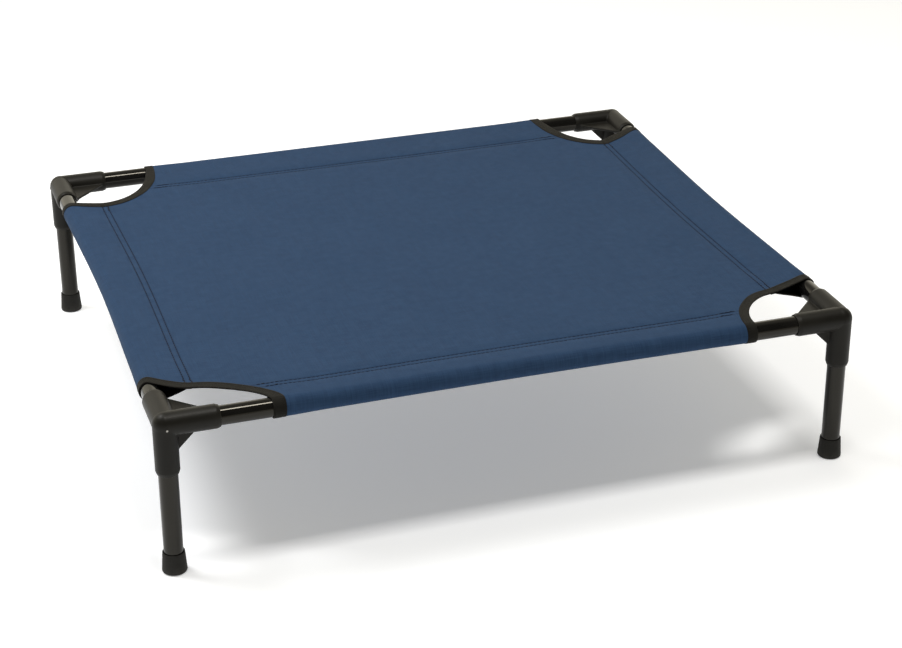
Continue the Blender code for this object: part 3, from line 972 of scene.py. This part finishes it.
def cap_profile():
    """Inside of the cup, over its rounded rim, down the flared wall and round the foot."""
    inner = TUBE_RADIUS + CAP_CLEARANCE
    rim = (CAP_RIM_RADIUS - inner) / 2
    top = CAP_HEIGHT - rim
    profile = [(0, CAP_FLOOR), (inner, CAP_FLOOR)]
    profile += [(inner, top)] + arc_points((inner + rim, top), rim, 180, 0, 7)
    for share in (0.25, 0.5, 0.75):
        wall = CAP_RIM_RADIUS + (CAP_BASE_RADIUS - CAP_RIM_RADIUS) * share
        profile.append((wall, top + (CAP_FOOT - top) * share))
    profile += arc_points((CAP_BASE_RADIUS - CAP_FOOT, CAP_FOOT), CAP_FOOT, 0, -90, 8)
    edge, inside_edge, depth = CAP_DISH
    return profile + [(edge, 0.0), (inside_edge, depth), (0.0, depth)]


def make_cap(corner, mesh, material):
    item = new_object(f"rubber_foot_{corner}", mesh, material)
    item.location = corner_place(corner, 0)
    return item


# --- Corner connector ---

SOCKET_RADIUS = 0.0136
SOCKET_STOP = 0.016
ELBOW_RADIUS = 0.01385
MOUTH_RADIUS_OUT = 0.0122
MOUTH_TAPER = 0.0042
MOUTH_CLEARANCE = 0.00042
WEB_THICKNESS = 0.003
WEB_ROOT = 0.0118
FLAT_WEB_REACH = 0.0565
LEG_WEB_REACH = 0.034
VOXEL = 0.00055
GATE_SPAN = (0.0006, -0.004)  # from the nub's face to inside the elbow
BORE_OVERRUN = 0.01


def add_skin(form, points, sides, matrix):
    """Add a closed solid to a bmesh, from its rings of points."""
    verts = [form.verts.new(matrix @ Vector(point)) for point in points]
    for face in skin(len(points) // sides, sides):
        form.faces.new([verts[i] for i in face])


def add_turned(form, profile, matrix, sides=72):
    add_skin(form, turned_points(profile, sides), sides, matrix)


def solid_object(name, build_form):
    form = bmesh.new()
    build_form(form)
    bmesh.ops.recalc_face_normals(form, faces=form.faces)
    mesh = bpy.data.meshes.new(name)
    form.to_mesh(mesh)
    form.free()
    return new_object(name, mesh, None)


def web_form(reach, matrix):
    def build(form):
        outline = [(0, 0), (reach, 0), (reach, WEB_ROOT), (WEB_ROOT, reach), (0, reach)]
        levels = (-WEB_THICKNESS / 2, WEB_THICKNESS / 2)
        add_skin(form, [(x, y, z) for z in levels for x, y in outline], len(outline), matrix)
    return build


def apply_modifiers(item):
    bpy.context.view_layer.update()
    graph = bpy.context.evaluated_depsgraph_get()
    result = bpy.data.meshes.new_from_object(item.evaluated_get(graph))
    item.modifiers.clear()
    item.data = result


def boolean(item, other, operation):
    modifier = item.modifiers.new(operation, "BOOLEAN")
    modifier.operation = operation
    modifier.solver = "EXACT"
    modifier.object = other
    apply_modifiers(item)
    bpy.data.objects.remove(other, do_unlink=True)


def connector_mesh():
    """Three sockets that meet in an elbow, with webs, blended together as one moulding."""
    quarter = math.pi / 2
    ways = (Matrix(), Matrix.Rotation(-quarter, 4, "Y"), Matrix.Rotation(quarter, 4, "X"))
    body_profile = [(0, 0), (SOCKET_RADIUS, 0), (SOCKET_RADIUS, -SOCKET_LENGTH + MOUTH_TAPER),
                    (MOUTH_RADIUS_OUT, -SOCKET_LENGTH), (0, -SOCKET_LENGTH)]
    bore = TUBE_RADIUS + MOUTH_CLEARANCE
    past_mouth = -SOCKET_LENGTH - BORE_OVERRUN
    bore_profile = [(0, -SOCKET_STOP), (bore, -SOCKET_STOP), (bore, past_mouth), (0, past_mouth)]

    def elbow(form):
        bmesh.ops.create_uvsphere(form, u_segments=72, v_segments=36, radius=ELBOW_RADIUS)

    def gate(form):
        spot = Matrix.Translation(GATE_PLACE) @ Matrix.Rotation(quarter, 4, "X")
        add_turned(form, [(GATE_RADIUS, height) for height in GATE_SPAN], spot, 24)

    upright_x = Matrix.Rotation(-quarter, 4, "X")
    upright_y = Matrix.Rotation(quarter, 4, "Z") @ upright_x
    body = solid_object("connector_form", elbow)
    for matrix in ways:
        def socket(form, matrix=matrix):
            add_turned(form, body_profile, matrix)
        boolean(body, solid_object("socket", socket), "UNION")
    for reach, matrix in ((FLAT_WEB_REACH, Matrix()), (LEG_WEB_REACH, upright_x),
                          (LEG_WEB_REACH, upright_y)):
        boolean(body, solid_object("web", web_form(reach, matrix)), "UNION")
    boolean(body, solid_object("gate", gate), "UNION")
    for matrix in ways:
        def hole(form, matrix=matrix):
            add_turned(form, bore_profile, matrix)
        boolean(body, solid_object("bore", hole), "DIFFERENCE")
    remesh = body.modifiers.new("remesh", "REMESH")
    remesh.mode = "VOXEL"
    remesh.voxel_size = VOXEL
    remesh.use_smooth_shade = True
    ease = body.modifiers.new("ease", "SMOOTH")
    ease.factor = 0.5
    ease.iterations = 5
    thin = body.modifiers.new("thin", "DECIMATE")
    thin.ratio = 0.35
    apply_modifiers(body)
    mesh = body.data
    mesh.name = "connector"
    mesh.shade_smooth()
    bpy.data.objects.remove(body, do_unlink=True)
    return mesh


def make_connector(corner, mesh, material):
    item = new_object(f"corner_moulding_{corner}", mesh, material)
    turn = Matrix.Rotation(math.radians(CORNERS[corner][2]), 4, "Z")
    item.matrix_world = Matrix.Translation(corner_place(corner, RAIL_Z)) @ turn
    return item


# --- Camera, light and floor ---

CAMERA_PLACE = (-0.7262, -2.3166, 1.2582)
CAMERA_TURN = -18.23          # degrees from looking along +Y, anticlockwise seen from above
CAMERA_DROP = 25.98           # degrees below the horizon
CAMERA_ROLL = -0.26
CAMERA_LENS = 84.2
ROOM_GLOW = 0.10
HORIZON_GLOW = 0.80
UPPER_GLOW = 0.45
BACKDROP_GLOW = 1.55


def make_camera():
    data = bpy.data.cameras.new("camera")
    data.lens = CAMERA_LENS
    data.sensor_width = 36
    data.clip_start = 0.05
    camera = bpy.data.objects.new("camera", data)
    bpy.context.scene.collection.objects.link(camera)
    camera.matrix_world = (Matrix.Translation(CAMERA_PLACE)
                           @ Matrix.Rotation(math.radians(CAMERA_TURN), 4, "Z")
                           @ Matrix.Rotation(math.radians(90 - CAMERA_DROP), 4, "X")
                           @ Matrix.Rotation(math.radians(CAMERA_ROLL), 4, "Z"))
    bpy.context.scene.camera = camera


def make_area_light(name, place, aim, size, power, colour):
    data = bpy.data.lights.new(name, "AREA")
    data.shape = "RECTANGLE"
    data.size, data.size_y = size
    data.energy = power
    data.color = colour
    light = bpy.data.objects.new(name, data)
    bpy.context.scene.collection.objects.link(light)
    light.location = place
    light.rotation_euler = (Vector(place) - Vector(aim)).to_track_quat("Z", "Y").to_euler()


def make_world():
    """A dim room, pale at the horizon, with a bright lit backdrop low down behind the bed."""
    world = bpy.data.worlds.new("studio")
    w = Nodes(world)
    _, forward, upward = w.parts(w.node("ShaderNodeTexCoord").outputs["Generated"])
    low_behind = w.product(w.remap(forward, 0.15, 0.6, 0, 1), w.remap(upward, 0.60, 0.44, 0, 1))
    high_behind = w.product(w.remap(forward, -0.15, 0.25, 0, 1), w.remap(upward, 0.44, 0.60, 0, 1))
    glow = w.math("ADD", w.remap(low_behind, 0, 1, 0, BACKDROP_GLOW - ROOM_GLOW),
                  w.remap(high_behind, 0, 1, ROOM_GLOW, UPPER_GLOW))
    glow = w.math("MAXIMUM", glow, w.remap(upward, 0.10, 0.20, HORIZON_GLOW, 0))
    background = w.tree.nodes["Background"].inputs
    w.set(background["Color"], (1.0, 0.94, 0.78))
    w.set(background["Strength"], glow)
    bpy.context.scene.world = world


def make_studio():
    bpy.context.scene.view_settings.view_transform = "Standard"
    make_world()
    make_area_light("overhead_softbox", (0.35, -0.68, 3.70), (0.35, -0.60, 0.2), (1.3, 0.7), 72,
                    (1.0, 0.97, 0.91))
    make_area_light("left_softbox", (-1.15, 0.45, 2.0), (-0.4, 0.0, 0.2), (0.8, 0.8), 33,
                    (1.0, 0.99, 0.97))
    form = bmesh.new()
    bmesh.ops.create_grid(form, x_segments=24, y_segments=24, size=7.0)
    mesh = bpy.data.meshes.new("floor")
    form.to_mesh(mesh)
    form.free()
    floor = new_object("studio_floor", mesh, floor_material())


# --- Assembly ---


def enter(item, body, slot, *nodes):
    """Parent a piece to the body that it moves with, and hide any CAD nodes that it stands for. The
    slot is not used.
    """
    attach(item, body)
    if nodes:
        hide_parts(*nodes)
    return item


def build():
    draw = random.Random(7)
    make_camera()
    make_studio()
    cloth = cloth_material()
    tape = tape_material()
    thread = thread_material("navy_thread", (0.0012, 0.0022, 0.0070), (0.0035, 0.0060, 0.0160))
    tape_thread = thread_material("black_thread", (0.006, 0.006, 0.006), (0.016, 0.0155, 0.015))
    paint = paint_material()
    plastic = plastic_material()
    rubber = rubber_material()

    cover, flat_size, flat_area = make_cover(cloth)
    enter(cover, "root", "woven_cloth", "deck_panel", *(f"{name}_sleeve" for name in SIDES))

    trims = []
    for name, side in SIDES.items():
        stitches = make_stitches(f"seam_stitches_{name}", seam_spots(side, draw),
                                 STITCH_LENGTH, STITCH_WIDTH, STITCH_HEIGHT, thread)
        trims.append(enter(stitches, "root", "woven_cloth"))
        enter(make_rail(side, paint), "root", "painted_steel", f"{name}_rail")

    moulding = connector_mesh()
    cap_mesh = turned_mesh("rubber_foot", cap_profile())
    for corner in CORNERS:
        binding = make_binding(corner, tape)
        enter(binding, "root", "binding_tape", f"binding_{corner}")
        stitches = make_stitches(f"tape_stitches_{corner}", tape_spots(corner, draw),
                                 TAPE_STITCH_LENGTH, TAPE_STITCH_WIDTH, TAPE_STITCH_HEIGHT,
                                 tape_thread)
        trims += [binding, enter(stitches, "root", "binding_tape")]
        connector = make_connector(corner, moulding, plastic)
        enter(connector, "root", "moulded_plastic", f"connector_{corner}")
        leg_body = f"leg_assembly_{corner}"
        enter(make_leg(corner, paint), leg_body, "painted_steel", f"leg_{corner}")
        enter(make_cap(corner, cap_mesh, rubber), leg_body, "rubber", f"foot_cap_{corner}")


build()
